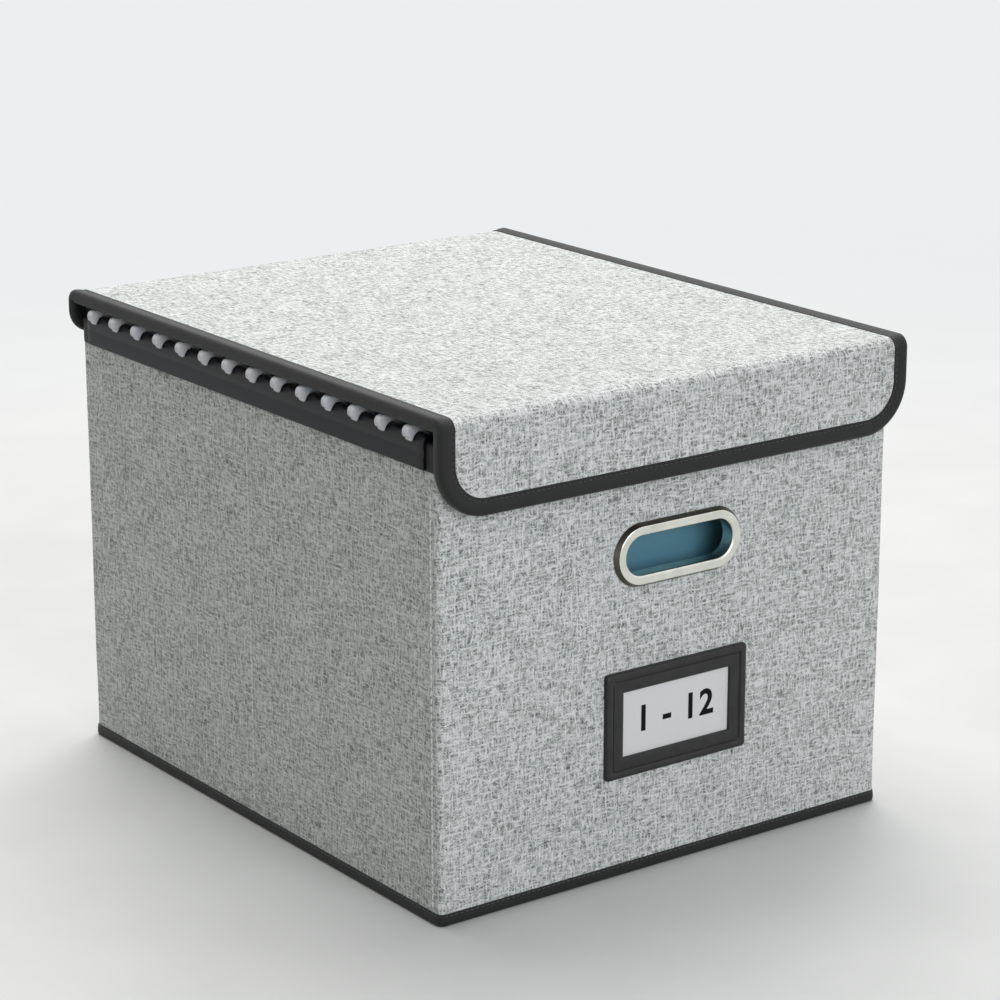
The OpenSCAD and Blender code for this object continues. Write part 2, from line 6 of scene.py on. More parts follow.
import bpy
import numpy as np
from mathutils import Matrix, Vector


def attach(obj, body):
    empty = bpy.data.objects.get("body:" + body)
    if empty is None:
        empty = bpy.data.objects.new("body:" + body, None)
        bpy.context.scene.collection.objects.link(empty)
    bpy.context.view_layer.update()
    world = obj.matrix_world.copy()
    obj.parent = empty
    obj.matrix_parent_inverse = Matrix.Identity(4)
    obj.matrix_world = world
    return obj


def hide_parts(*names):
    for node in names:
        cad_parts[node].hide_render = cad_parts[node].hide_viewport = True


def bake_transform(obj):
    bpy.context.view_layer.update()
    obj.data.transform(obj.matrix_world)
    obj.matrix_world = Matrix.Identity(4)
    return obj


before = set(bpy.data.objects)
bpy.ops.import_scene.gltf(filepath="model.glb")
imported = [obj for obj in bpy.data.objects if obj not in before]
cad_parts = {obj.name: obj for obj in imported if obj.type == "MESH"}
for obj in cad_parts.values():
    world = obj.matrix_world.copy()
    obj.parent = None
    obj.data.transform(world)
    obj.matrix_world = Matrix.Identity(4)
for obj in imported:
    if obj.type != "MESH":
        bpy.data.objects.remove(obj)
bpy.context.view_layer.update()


# ---- The wall boards -------------------------------------------------------------------------
# Six grey chip boards stiffen the walls. They are pressed from waste paper and cut to size, and the
# side boards stop at a fold line half way along.
def linear(hex_colour):
    """The linear RGBA of an sRGB hex colour: c / 12.92 for small c, else ((c + 0.055) / 1.055) ^ 2.4."""
    parts = [int(hex_colour[k:k + 2], 16) / 255 for k in (1, 3, 5)]
    return (*[c / 12.92 if c <= 0.04045 else ((c + 0.055) / 1.055) ** 2.4 for c in parts], 1.0)


def feed(tree, node, inputs):
    """Fills a node's inputs, in order or by name. Each is a value to set, an output to link, or a
    node whose first output is linked."""
    for key, value in inputs.items() if isinstance(inputs, dict) else enumerate(inputs):
        if isinstance(value, bpy.types.Node):
            value = value.outputs[0]
        if isinstance(value, bpy.types.NodeSocket):
            tree.links.new(value, node.inputs[key])
        else:
            node.inputs[key].default_value = value


def add(tree, kind, inputs=(), how=None, **settings):
    """Adds a shader node with its inputs and settings. how is a ramp's (place, hex colour) stops, or
    the operation of a node that calculates."""
    node = tree.nodes.new("ShaderNode" + kind)
    for key, value in settings.items():
        setattr(node, key, value)
    if kind == "ValToRGB":
        points = node.color_ramp.elements
        while len(points) < len(how):
            points.new(0.5)
        for point, (place, colour) in zip(points, how):
            point.position, point.color = place, linear(colour)
    elif how:
        node.operation = how
    feed(tree, node, inputs)
    return node


def new_material(name, **sockets):
    """A material with one Principled shader, whose constant sockets are set by name, with _ for a space."""
    material = bpy.data.materials.new(name)
    material.use_nodes = True
    tree = material.node_tree
    tree.nodes.clear()
    shader = add(tree, "BsdfPrincipled", {key.replace("_", " "): value for key, value in sockets.items()})
    add(tree, "OutputMaterial", {"Surface": shader})
    return material, tree, shader


def object_mm(tree, scale=(1, 1, 1)):
    """The piece's own coordinates in millimetres, each axis times its scale. A noise of scale s on
    them has grains about 1 / s millimetres wide."""
    place = add(tree, "TexCoord").outputs["Object"]
    return add(tree, "VectorMath", (place, [1000 * s for s in scale]), "MULTIPLY")


def dress(node, material):
    """Gives a CAD node a better material."""
    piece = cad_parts[node]
    piece.data.materials.clear()
    piece.data.materials.append(material)


# Chip board is matt, with fibres about 0.6 mm long and larger flecks, paler or browner.
chip_board, tree, shader = new_material("chip_board", Roughness=0.86)
fibres = add(tree, "TexNoise", {"Vector": object_mm(tree), "Scale": 1.6, "Detail": 6, "Roughness": 0.7})
flecks = add(tree, "TexNoise", {"Vector": object_mm(tree, (1, 1, 4)), "Scale": 0.5, "Detail": 3})
level = add(tree, "Math", (fibres, 0.6), "MULTIPLY")
level = add(tree, "Math", (flecks, 0.4, level), "MULTIPLY_ADD")
feed(tree, shader, {
    "Base Color": add(tree, "ValToRGB", (level,), ((0.3, "#8A8074"), (0.5, "#A79C8E"), (0.68, "#B9AFA1"))),
    "Normal": add(tree, "Bump", {"Height": fibres, "Distance": 0.00012})})
for name in ("front_board", "back_board", "left_front_board", "left_rear_board",
             "right_front_board", "right_rear_board"):
    dress(name, chip_board)


# ---- The outer linen -------------------------------------------------------------------------
# One length of heathered polyester linen, glued round the wall boards and turned in at the rim.
# Its slubbed yarns run both ways; a groove marks the fold line in the middle of each side wall.
WALL_X, WALL_Y, WALL_CORNER, MIDDLE_Y = 155.0, 183.5, 3.5, 1.25
FRONT_Y, BACK_Y = MIDDLE_Y - WALL_Y, MIDDLE_Y + WALL_Y
RIM_Z, HAND_Z = 263.0, 182.6
FRONT_METAL_X = 3.0
HAND_HALF, HAND_R, HAND_MARGIN = 25.9, 11.1, 1.9


def flat_mm(tree, scale=(1, 1, 1)):
    """The place on a sheet's uncut cloth in millimetres, each axis times its scale."""
    return add(tree, "VectorMath", (add(tree, "UVMap", uv_map="flat"), scale), "MULTIPLY")


def sine(tree, length, turn):
    """The sine of a length times turn, which repeats every 2 pi / turn millimetres."""
    return add(tree, "Math", (add(tree, "Math", (length, turn), "MULTIPLY"),), "SINE")


def linen_material(name):
    """Slubbed plain weave: uneven yarns both ways, the brighter one on top, over a fine crossing, with
    dark pinholes where four yarns part and a few pale nubs. The yarns are drawn 1.15 and 1.9 mm wide
    and the crossing 0.95 mm apart, as coarse as they need to be to show."""
    material, tree, shader = new_material(name, Roughness=0.88, Sheen_Weight=0.2, Sheen_Roughness=0.5)
    wander = flat_mm(tree)
    for scale, reach in ((0.12, 2.2), (0.7, 0.7)):
        push = add(tree, "TexNoise", {"Vector": flat_mm(tree), "Scale": scale, "Detail": 1}).outputs[1]
        wander = add(tree, "VectorMath", (push, (reach, reach, 0), wander), "MULTIPLY_ADD")

    def yarns(turned, shift):
        """Two sets of strands, (width, length) mm each: noise stretched along the yarn."""
        strands = []
        for width, length in ((1.15, 5.0), (1.9, 17.0)):
            sizes = (1 / length, 1 / width, 1) if turned else (1 / width, 1 / length, 1)
            place = add(tree, "VectorMath", (wander, sizes, (shift + length, shift, 0)), "MULTIPLY_ADD")
            strands.append(add(tree, "TexNoise", {"Vector": place, "Scale": 1, "Detail": 1.6,
                                                  "Roughness": 0.55}))
        return add(tree, "Mix", {0: 0.36, 2: strands[0], 3: strands[1]}, data_type="FLOAT")

    both = [yarns(False, 3.0), yarns(True, 41.0)]
    brighter = add(tree, "Math", both, "MAXIMUM")
    mean = add(tree, "Math", (add(tree, "Math", both), 0.5), "MULTIPLY")
    thread = add(tree, "Math", (mean, 0.45), "MULTIPLY")
    thread = add(tree, "Math", (brighter, 0.75, thread), "MULTIPLY_ADD")
    axes = add(tree, "SeparateXYZ", (wander,)).outputs[:2]
    crossing = add(tree, "Math", [sine(tree, axis, math.pi / 0.95) for axis in axes], "MULTIPLY")
    pores = add(tree, "TexNoise", {"Vector": wander, "Scale": 0.85, "Detail": 1})
    pinhole = add(tree, "Math", (add(tree, "Math", (0.4, pores), "SUBTRACT"), 0), "MAXIMUM")
    knots = add(tree, "TexNoise", {"Vector": wander, "Scale": 0.55, "Detail": 0})
    nub = add(tree, "Math", (add(tree, "Math", (knots, 0.68), "SUBTRACT"), 0), "MAXIMUM")
    height = add(tree, "Math", (nub, 1.2, thread), "MULTIPLY_ADD")
    height = add(tree, "Math", (pinhole, -1.1, height), "MULTIPLY_ADD")
    cloudy = add(tree, "TexNoise", {"Vector": flat_mm(tree), "Scale": 0.035, "Detail": 3, "Roughness": 0.6})
    level = add(tree, "Math", (cloudy, 0.1, height), "MULTIPLY_ADD")
    level = add(tree, "Math", (crossing, 0.03, level), "MULTIPLY_ADD")
    relief = add(tree, "Math", (crossing, 0.12, height), "MULTIPLY_ADD")
    shades = ((0.485, "#575D59"), (0.555, "#8C928E"), (0.62, "#BABFBB"), (0.69, "#DEE2DF"),
              (0.78, "#F8F9F8"))
    feed(tree, shader, {"Base Color": add(tree, "ValToRGB", (level,), shades),
                        "Normal": add(tree, "Bump", {"Height": relief, "Distance": 0.0006})})
    return material


def new_piece(name, points, faces, material, sharp=None):
    """A smooth-shaded object at the origin from points in millimetres and faces. Edges sharper than
    the sharp angle in degrees stay hard."""
    mesh = bpy.data.meshes.new(name)
    mesh.from_pydata((np.asarray(points) / 1000).tolist(), [], faces)
    mesh.shade_smooth()
    if sharp is not None:
        mesh.set_sharp_from_angle(angle=math.radians(sharp))
    mesh.materials.append(material)
    piece = bpy.data.objects.new(name, mesh)
    bpy.context.scene.collection.objects.link(piece)
    return piece


def mesh_piece(name, points, faces, material, body=None, flat=None, sharp=None):
    """A piece of quads, without its unused points. flat is each point's place on the uncut cloth."""
    used, index = np.unique(faces, return_inverse=True)
    points = np.asarray(points, float).reshape(-1, 3)[used]
    piece = new_piece(name, points, index.reshape(np.shape(faces)).tolist(), material, sharp)
    if flat is not None:
        flat = np.asarray(flat, np.float32).reshape(-1, 2)[used]
        corner = np.zeros(len(piece.data.loops), int)
        piece.data.loops.foreach_get("vertex_index", corner)
        piece.data.uv_layers.new(name="flat").data.foreach_set("uv", flat[corner].ravel())
    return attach(piece, body) if body else piece


def grid(rows, cols, flip=False, cut=None):
    """The quads of a rows by cols sheet of points numbered row by row, without those that touch a
    cut point. They face along columns cross rows, or the other way when flipped."""
    r, c = np.mgrid[0:rows - 1, 0:cols - 1]
    quads = np.stack([r * cols + c, r * cols + c + 1, (r + 1) * cols + c + 1, (r + 1) * cols + c], -1)
    quads = quads.reshape(-1, 4)
    if cut is not None:
        quads = quads[~cut.ravel()[quads].any(axis=1)]
    return quads[:, ::-1] if flip else quads


def run_along(points):
    """How far along a path each of its points lies: the running sum of its steps' lengths."""
    return np.r_[0, np.cumsum(np.linalg.norm(np.diff(points, axis=0), axis=1))]


def round_loop(half_x, half_y, r, k=6, nx=1, ny=2):
    """Points, outward normals and arc lengths round a rounded rectangle. It starts and ends in the
    middle of the +x side and runs anticlockwise; corners have k steps and sides nx and ny steps."""
    def side(start, stop, steps, normal):
        share = np.arange(1, steps)[:, None] / steps
        return start + share * np.subtract(stop, start), np.tile(normal, (steps - 1, 1))

    def corner(sx, sy, first):
        angle = first + np.linspace(0, math.pi / 2, k + 1)
        normal = np.column_stack([np.cos(angle), np.sin(angle)])
        return (sx * (half_x - r), sy * (half_y - r)) + r * normal, normal

    middle = np.array([(half_x, 0.0)]), np.array([(1.0, 0.0)])
    parts = [middle, side((half_x, 0), (half_x, half_y - r), ny // 2, (1, 0)), corner(1, 1, 0.0),
             side((half_x - r, half_y), (r - half_x, half_y), nx, (0, 1)), corner(-1, 1, math.pi / 2),
             side((-half_x, half_y - r), (-half_x, r - half_y), ny, (-1, 0)), corner(-1, -1, math.pi),
             side((r - half_x, -half_y), (half_x - r, -half_y), nx, (0, -1)), corner(1, -1, 1.5 * math.pi),
             side((half_x, r - half_y), (half_x, 0), ny // 2, (1, 0)), middle]
    points, normals = (np.concatenate(arrays) for arrays in zip(*parts))
    return points, normals, run_along(points)


def ripple(u, v, size, seed):
    """Gentle random waves between about -1 and 1 over u and v in millimetres: a fifth of the sum of
    twelve cosines with seeded directions and phases, each about size long."""
    draw = np.random.default_rng(seed)
    total = np.zeros(np.broadcast(u, v).shape)
    for _ in range(12):
        angle, phase = draw.uniform(0, 2 * math.pi, 2)
        wave = 2 * math.pi / (size * draw.uniform(0.7, 1.6))
        total += np.cos(wave * (u * math.cos(angle) + v * math.sin(angle)) + phase)
    return total / 5


def near_hand_hole(x, z, centre_x):
    """Whether a point of a wall is in the hand hole or its margin: its distance from the hole's centre
    line, a level stretch with round ends, is under their sum."""
    return np.hypot(np.maximum(np.abs(x - centre_x) - HAND_HALF, 0), z - HAND_Z) < HAND_R + HAND_MARGIN


def wall_skin(name, inset, corner_r, low, wave, groove, material, seed, flip):
    """A skin all round the walls at a depth below their outer face, with both hand holes left out. It
    waves gently away from the foot and the rim, and the groove along the side walls' fold line is a
    bell curve of that depth."""
    path, normal, run = round_loop(WALL_X - inset, WALL_Y - inset, corner_r, 6, 124, 96)
    high = RIM_Z - 0.2
    x, y, s, z = np.broadcast_arrays(path[:, 0], path[:, 1], run, np.linspace(low, high, 106)[:, None])
    out = wave * ripple(s, z, 70, seed) * np.clip((z - low) / 15, 0, 1) * np.clip((high - z) / 25, 0, 1)
    out = out - np.where(np.abs(normal[:, 0]) > 0.99, groove * np.exp(-(y / 0.9) ** 2), 0)
    points = np.stack([x + out * normal[:, 0], y + out * normal[:, 1] + MIDDLE_Y, z], -1)
    holes = near_hand_hole(x, z, FRONT_METAL_X) & (y < 0) | near_hand_hole(x, z, 0.0) & (y > 0)
    skin = mesh_piece(name, points, grid(*x.shape, flip, holes), material, "carcass", np.stack([s, z], -1))
    return skin, run[-1]


linen = linen_material("heather_linen")
wall_linen, around = wall_skin("wall_linen", 0.0, WALL_CORNER, 0.8, 0.18, 0.5, linen, 3, False)
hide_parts("outer_cover")


# ---- The lining ------------------------------------------------------------------------------
# Grey non-woven fabric glued to the inside of the walls, spot-bonded in a fine diamond pattern,
# and a loose floor board wrapped in the same fabric.
def nonwoven_material(name, place, pitch, shades):
    """Pressed fibres, matt and a little fuzzy, with a diamond grid of spot bonds: the product of two
    slanting sines above a level. pitch is the grid's in millimetres."""
    material, tree, shader = new_material(name, Roughness=0.93, Sheen_Weight=0.2)
    where = place(tree)
    axes = add(tree, "SeparateXYZ", (where,)).outputs[:2]
    slants = [sine(tree, add(tree, "Math", axes, way), math.pi / pitch) for way in ("ADD", "SUBTRACT")]
    waves = [add(tree, "Math", (slant,), "ABSOLUTE") for slant in slants]
    spot = add(tree, "Math", (add(tree, "Math", waves, "MULTIPLY"), 0.62), "GREATER_THAN")
    fibre = add(tree, "TexNoise", {"Vector": where, "Scale": 1.1, "Detail": 5, "Roughness": 0.75})
    level, relief = (add(tree, "Math", (spot, -depth, fibre), "MULTIPLY_ADD") for depth in (0.13, 0.8))
    feed(tree, shader, {"Base Color": add(tree, "ValToRGB", (level,), shades),
                        "Normal": add(tree, "Bump", {"Height": relief, "Distance": 0.00018})})
    return material


greys = ((0.2, "#4A4F51"), (0.5, "#6B7173"), (0.75, "#868C8D"))
nonwoven = nonwoven_material("grey_nonwoven", flat_mm, 1.6, greys)
wall_lining, _ = wall_skin("wall_lining", 4.0, 0.4, 1.4, 0.12, -0.15, nonwoven, 8, True)
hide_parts("lining")
wrapped_board = nonwoven_material("wrapped_board", object_mm, 1.6, greys)
dress("base_board", wrapped_board)


# ---- The bottom cloth ------------------------------------------------------------------------
# A plain square of the same linen under the floor, tucked in under the wall cloth before the
# foot tape is sewn on. It is made of loops that shrink towards the middle of the floor.
BOTTOM_X, BOTTOM_Y, BOTTOM_Z = 154.0, 182.5, 0.4
loops = np.array([round_loop(BOTTOM_X * share + 0.01, BOTTOM_Y * share + 0.01, max(3 * share, 0.005),
                             3, 10, 12)[0] for share in np.linspace(1, 0, 9)])
points = np.concatenate([loops + (0, MIDDLE_Y), np.full((*loops.shape[:2], 1), BOTTOM_Z)], -1)
bottom_linen = mesh_piece("bottom_linen", points, grid(*loops.shape[:2], flip=True), linen, "carcass", loops)
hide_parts("bottom_cover")


# ---- The foot tape and the rim tape ----------------------------------------------------------
# Ribbed polyester tape, folded over the rim and round the foot and sewn down along its edge with
# a lockstitch in matching thread. Paler thread runs down the folds and front edges of the sides.
def tape_material(name, low, high):
    """Ribs across the tape, 0.55 mm apart, over a 0.4 mm weft, with a soft sheen and a little fading."""
    material, tree, shader = new_material(name, Specular_IOR_Level=0.25, Sheen_Weight=0.06)
    axes = add(tree, "SeparateXYZ", (flat_mm(tree),)).outputs
    ribs, weft = (sine(tree, axis, 2 * math.pi / pitch) for axis, pitch in zip(axes, (0.55, 0.4)))
    weave = add(tree, "Math", (ribs, 0.25, 0.5), "MULTIPLY_ADD")
    weave = add(tree, "Math", (add(tree, "Math", (ribs, weft), "MULTIPLY"), 0.25, weave), "MULTIPLY_ADD")
    faded = add(tree, "TexNoise", {"Vector": flat_mm(tree, (0.06, 0.35, 1)), "Scale": 1, "Detail": 4,
                                   "Roughness": 0.65})
    level = add(tree, "Math", (faded, 0.4, 0.1), "MULTIPLY_ADD")
    level = add(tree, "Math", (weave, 0.35, level), "MULTIPLY_ADD")
    feed(tree, shader, {"Base Color": add(tree, "ValToRGB", (level,), ((0.3, low), (0.7, high))),
                        "Normal": add(tree, "Bump", {"Height": weave, "Distance": 0.0001}),
                        "Roughness": add(tree, "Math", (faded, 0.2, 0.42), "MULTIPLY_ADD")})
    return material


def thread_material(name, low, high):
    """Twisted sewing thread: slanting turns of lighter and darker ply, 0.7 mm apart along each axis."""
    material, tree, shader = new_material(name, Roughness=0.6, Sheen_Weight=0.3)
    slant = add(tree, "VectorMath", (object_mm(tree), (1, 1, 1)), "DOT_PRODUCT").outputs["Value"]
    turns = sine(tree, slant, 9.0)
    level = add(tree, "Math", (turns, 0.5, 0.5), "MULTIPLY_ADD")
    feed(tree, shader, {"Base Color": add(tree, "ValToRGB", (level,), ((0.1, low), (0.9, high))),
                        "Normal": add(tree, "Bump", {"Height": level, "Distance": 0.00006})})
    return material


def stitches(name, start, stop, normal, radius, material, body=None):
    """One mesh of stitches: six-sided spindles from start to stop, raised along the normal in the
    middle and sunk at the ends, through five rings of points each."""
    along = stop - start
    side = np.cross(along, normal)
    side /= np.linalg.norm(side, axis=1, keepdims=True)
    share = np.array([0, 0.12, 0.5, 0.88, 1.0])
    girth = np.array([0.25, 0.8, 1.0, 0.8, 0.25]) * radius
    lift = np.array([-0.8, 0.0, 0.35, 0.0, -0.8]) * radius
    angle = np.arange(6) * math.pi / 3
    middle = (start[:, None] + share[:, None] * along[:, None] + lift[:, None] * normal[:, None])[:, :, None]
    across = np.cos(angle)[:, None] * normal[:, None, None] + np.sin(angle)[:, None] * side[:, None, None]
    points = middle + girth[:, None, None] * across
    ring = np.arange(6)
    beside = (ring + 1) % 6
    quads = [np.stack([k + ring, k + beside, k + 6 + beside, k + 6 + ring], -1) for k in (0, 6, 12, 18)]
    caps = np.array([[0, 3, 2, 1], [0, 5, 4, 3], [24, 25, 26, 27], [24, 27, 28, 29]])
    faces = np.concatenate(quads + [caps]) + 30 * np.arange(len(start))[:, None, None]
    return mesh_piece(name, points, faces.reshape(-1, 4), material, body)


STITCH_PITCH, STITCH_LENGTH = 3.4, 2.5


def stitch_places(path):
    """Where stitches start and stop along a path of points, evenly pitched along its length."""
    run = run_along(path)
    first = np.arange(STITCH_PITCH / 2, run[-1] - STITCH_LENGTH, STITCH_PITCH)
    return [np.stack([np.interp(at, run, axis) for axis in path.T], -1)
            for at in (first, first + STITCH_LENGTH)]


def wall_tape(name, section, flip, replaced):
    """A tape round the walls. section is (out from the wall's face, height) points across the tape."""
    path, normal, run = round_loop(WALL_X, WALL_Y, WALL_CORNER, 6, 62, 74)
    section = np.array(section)
    x, y = (path[:, k:k + 1] + section[:, 0] * normal[:, k:k + 1] for k in (0, 1))
    points = np.stack([x, y + MIDDLE_Y, section[:, 1] + 0 * x], -1)
    flat = np.stack(np.broadcast_arrays(run[:, None], run_along(section)), -1)
    piece = mesh_piece(name, points, grid(*x.shape, flip), tape, "carcass", flat)
    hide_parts(replaced)


tape = tape_material("binding_tape", "#161817", "#2C2E2A")
RIM_LOW = 248.5
wall_tape("foot_tape", [
    (-0.05, 6.7), (0.45, 6.55), (0.7, 6.1), (0.68, 5.5), (0.85, 4.8), (1.0, 3.6), (1.0, 2.2), (0.95, 1.1),
    (0.7, 0.35), (0.2, 0.05), (-1.5, 0.0), (-3.0, 0.0), (-3.1, 0.25)], False, "foot_binding")
wall_tape("rim_tape", [
    (-0.05, RIM_LOW), (0.2, RIM_LOW + 0.1), (0.42, RIM_LOW + 0.6), (0.36, RIM_LOW + 1.5),
    (0.48, RIM_LOW + 2.6), (0.5, 256), (0.5, 261.4), (0.4, 262.4), (-0.1, 263.15), (-1.0, 263.45),
    (-2.0, 263.5), (-3.0, 263.45), (-3.9, 263.15), (-4.4, 262.4), (-4.5, 261.4), (-4.5, 256),
    (-4.48, RIM_LOW + 2.6), (-4.36, RIM_LOW + 1.5), (-4.42, RIM_LOW + 0.6), (-4.2, RIM_LOW + 0.1),
    (-3.95, RIM_LOW)], True, "rim_binding")

dark_thread = thread_material("dark_thread", "#26292A", "#565B5C")
path, normal, _ = round_loop(WALL_X, WALL_Y, WALL_CORNER, 6, 62, 74)
for name, out, z in (("foot_stitches", 0.72, 5.6), ("rim_stitches", 0.4, RIM_LOW + 1.5)):
    seam = np.column_stack([path + out * normal + (0, MIDDLE_Y), np.full(len(path), z), normal])
    start, stop = stitch_places(seam)
    if name == "rim_stitches":
        # The rails hide the rim's sides, so they have no stitches.
        clear = np.abs(start[:, 0]) < WALL_X - 1
        start, stop = start[clear], stop[clear]
    facing = np.column_stack([start[:, 3:5], np.zeros(len(start))])
    stitches(name, start[:, :3], stop[:, :3], facing, 0.2, dark_thread, "carcass")

SEAM_LOW, SEAM_HIGH, SEAM_PITCH, SEAM_STITCH, SEAM_OUT = 9.0, 245.0, 4.4, 3.7, 0.35
pale_thread = thread_material("pale_thread", "#DDE2E0", "#FAFBFA")
heights = np.arange(SEAM_LOW, SEAM_HIGH, SEAM_PITCH)
seams = np.array([(side, y) for side in (-1, 1) for y in (MIDDLE_Y, FRONT_Y + 6.4)])
side, y = np.repeat(seams, len(heights), axis=0).T
start = np.column_stack([side * (WALL_X + SEAM_OUT), y, np.tile(heights, len(seams))])
facing = np.column_stack([side, 0 * side, 0 * side])
wall_stitches = stitches("wall_stitches", start, start + (0, 0, SEAM_STITCH), facing, 0.5, pale_thread,
                         "carcass")


# ---- The rails -------------------------------------------------------------------------------
# Two extruded channels of stiff satin plastic with a domed back, pressed down over the rims of
# the side walls; their sawn ends keep a fine lip.
RAIL_OUT, RAIL_IN, RAIL_CROWN_R, RAIL_FOOT, RAIL_CEILING = 157.05, 148.95, 4.05, 249.1, 263.55
RAIL_FRONT, RAIL_BACK, RAIL_T, CROWN_Z = -172.45, 174.95, 1.5, 263.0
RAIL_MIDDLE, NECK_Z, LIP = (RAIL_OUT + RAIL_IN) / 2, 258.0, 0.12


def plastic_material(name, low, high, grain_mm, relief_mm, rough):
    """Moulded or extruded plastic: a fine grain and drawn streaks along y, darker along its edges."""
    material, tree, shader = new_material(name, Specular_IOR_Level=0.25)
    grain = add(tree, "TexNoise", {"Vector": object_mm(tree), "Scale": 1 / grain_mm, "Detail": 4,
                                   "Roughness": 0.6})
    streak = add(tree, "TexNoise", {"Vector": object_mm(tree, (1, 0.02, 1)), "Scale": 0.9, "Detail": 3})
    level = add(tree, "Math", (streak, 0.6), "MULTIPLY")
    level = add(tree, "Math", (grain, 0.4, level), "MULTIPLY_ADD")
    edge = add(tree, "NewGeometry").outputs["Pointiness"]
    shaded = add(tree, "Math", (edge, -1.2, add(tree, "Math", (level, 0.6))), "MULTIPLY_ADD")
    feed(tree, shader, {"Base Color": add(tree, "ValToRGB", (shaded,), ((0.3, low), (0.75, high))),
                        "Roughness": add(tree, "Math", (level, 0.25, rough), "MULTIPLY_ADD"),
                        "Normal": add(tree, "Bump", {"Height": grain, "Distance": relief_mm / 1000})})
    return material


def arc(across, up, r, angles):
    """Points on an arc about (across, up): the centre plus r times each angle's cosine and sine."""
    return np.column_stack([across + r * np.cos(angles), up + r * np.sin(angles)])


def swept_piece(name, bodies, material, body, sharp):
    """One mesh of closed bodies, each through rings of points in millimetres, with flat ends."""
    points, faces, first = [], [], 0
    for rings in bodies:
        rings = np.array(rings)
        number = first + np.arange(rings[..., 0].size).reshape(rings.shape[:2])
        beside = np.roll(number, -1, axis=1)
        quads = np.stack([number[:-1], beside[:-1], beside[1:], number[1:]], -1).reshape(-1, 4)
        faces += [*quads.tolist(), number[0, ::-1].tolist(), number[-1].tolist()]
        points.append(rings.reshape(-1, 3))
        first += number.size
    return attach(new_piece(name, np.concatenate(points), faces, material, sharp), body)


def rail(name, side, replaced):
    """A channel swept along y: its section runs up the outside, over the dome, down the inside and
    back through the slot that grips the wall. A shallow neck parts the dome from the legs."""
    leg = np.array([(0.25, RAIL_FOOT), (0.0, RAIL_FOOT + 0.3), (0.0, 255.6), (0.28, 256.9), (0.42, 257.8),
                    (0.28, 258.7), (0.05, 260.0), (0.0, 261.5)])
    dome = arc(RAIL_MIDDLE, CROWN_Z, RAIL_CROWN_R, np.linspace(0, math.pi, 25))
    left, right = RAIL_IN + RAIL_T, RAIL_OUT - RAIL_T
    slot = [(left - 0.25, RAIL_FOOT), (left, RAIL_FOOT + 0.3), (left, RAIL_CEILING),
            (right, RAIL_CEILING), (right, RAIL_FOOT + 0.3), (right + 0.25, RAIL_FOOT)]
    section = np.concatenate([(RAIL_OUT, 0) + leg * (-1, 1), dome, (RAIL_IN, 0) + leg[::-1], slot])
    inwards = np.sign(section - (RAIL_MIDDLE, NECK_Z)) * LIP
    inwards[-len(slot):] = 0
    stops = [RAIL_FRONT, RAIL_FRONT + 0.25, *np.linspace(RAIL_FRONT + 4, RAIL_BACK - 4, 40),
             RAIL_BACK - 0.25, RAIL_BACK]
    rings = []
    for y in stops:
        ring = section - inwards if y in (RAIL_FRONT, RAIL_BACK) else section
        rings.append(np.column_stack([side * ring[:, 0], np.full(len(ring), y), ring[:, 1]])[::-side])
    piece = swept_piece(name, [rings], rail_plastic, "carcass", 35)
    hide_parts(replaced)


rail_plastic = plastic_material("rail_plastic", "#111115", "#232429", 0.6, 0.02, 0.28)
rail("left_channel", -1, "left_rail")
rail("right_channel", 1, "right_rail")


# ---- The hand rings --------------------------------------------------------------------------
# Two-part nickel-plated grommets: a pressed ring with a rolled face in front of the wall, whose
# collar passes through it and is turned over a flat plate inside.
def metal_material(name, low, high, metallic, rough, relief_mm, brushed=(1, 1, 1)):
    """Plated or lacquered metal: smudges about 8 mm wide and a slight waviness in the polish."""
    material, tree, shader = new_material(name, Metallic=metallic)
    smudge = add(tree, "TexNoise", {"Vector": object_mm(tree), "Scale": 0.12, "Detail": 4, "Roughness": 0.6})
    fine = add(tree, "TexNoise", {"Vector": object_mm(tree, brushed), "Scale": 2.2, "Detail": 3,
                                  "Roughness": 0.6})
    dull = add(tree, "Math", (fine, 0.08, rough), "MULTIPLY_ADD")
    feed(tree, shader, {"Base Color": add(tree, "ValToRGB", (smudge,), ((0.3, low), (0.7, high))),
                        "Roughness": add(tree, "Math", (smudge, 0.14, dull), "MULTIPLY_ADD"),
                        "Normal": add(tree, "Bump", {"Height": fine, "Distance": relief_mm / 1000})})
    return material


def collar(name, section, half_x, half_z, corner, steps, centre, face_y, facing, material, sharp):
    """A closed ring swept round a rounded rectangle. section is (distance outside the rectangle,
    height above the wall) points, and corner gives the corners' radius at a distance outside it."""
    loops = []
    for out, up in section:
        x, z = round_loop(half_x + out, half_z + out, corner(out), *steps)[0].T
        loops.append(np.column_stack([centre[0] + x, np.full(len(x), face_y + facing * up), centre[1] + z]))
    loops.append(loops[0])
    quads = grid(len(loops), len(loops[0]), facing > 0)
    return mesh_piece(name, loops, quads, material, "carcass", sharp=sharp)


